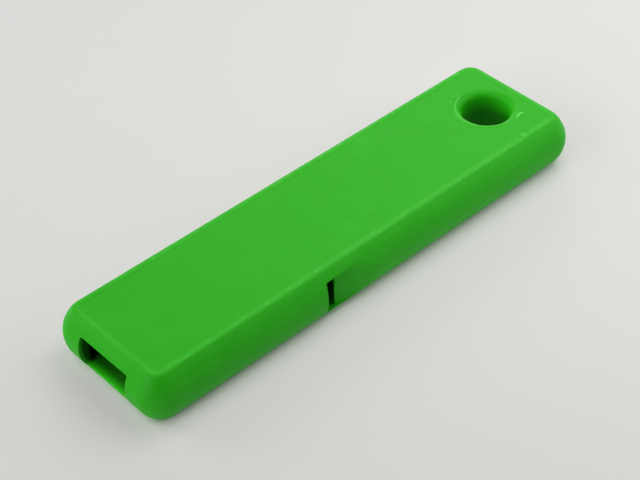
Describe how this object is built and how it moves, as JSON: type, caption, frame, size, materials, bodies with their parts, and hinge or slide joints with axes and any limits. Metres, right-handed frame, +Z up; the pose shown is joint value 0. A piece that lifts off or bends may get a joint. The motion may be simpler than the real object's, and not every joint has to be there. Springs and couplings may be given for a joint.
{
  "type": "dog whistle",
  "caption": "Flat rounded-bar pealess dog whistle with a mouth slot at one end, a sound window with a ramp in one long side and a lanyard hole at the other end.",
  "frame": {"origin": "middle of the flat underside, on the surface that the whistle lies on", "axes": "+X from the mouth end to the lanyard end, -Y the long side with the sound window, +Z up out of the flat top, along the lanyard hole"},
  "size_m": [0.06, 0.0164, 0.0062],
  "materials": {
    "shell_plastic": "satin green plastic with fine printed layer lines",
    "insert_plastic": "the same green plastic, unpolished"
  },
  "bodies": {
    "root": {"upper_shell": "shell_plastic", "base_plate": "shell_plastic", "windway_block": "insert_plastic", "chamber_stop": "insert_plastic"}
  },
  "joints": []
}
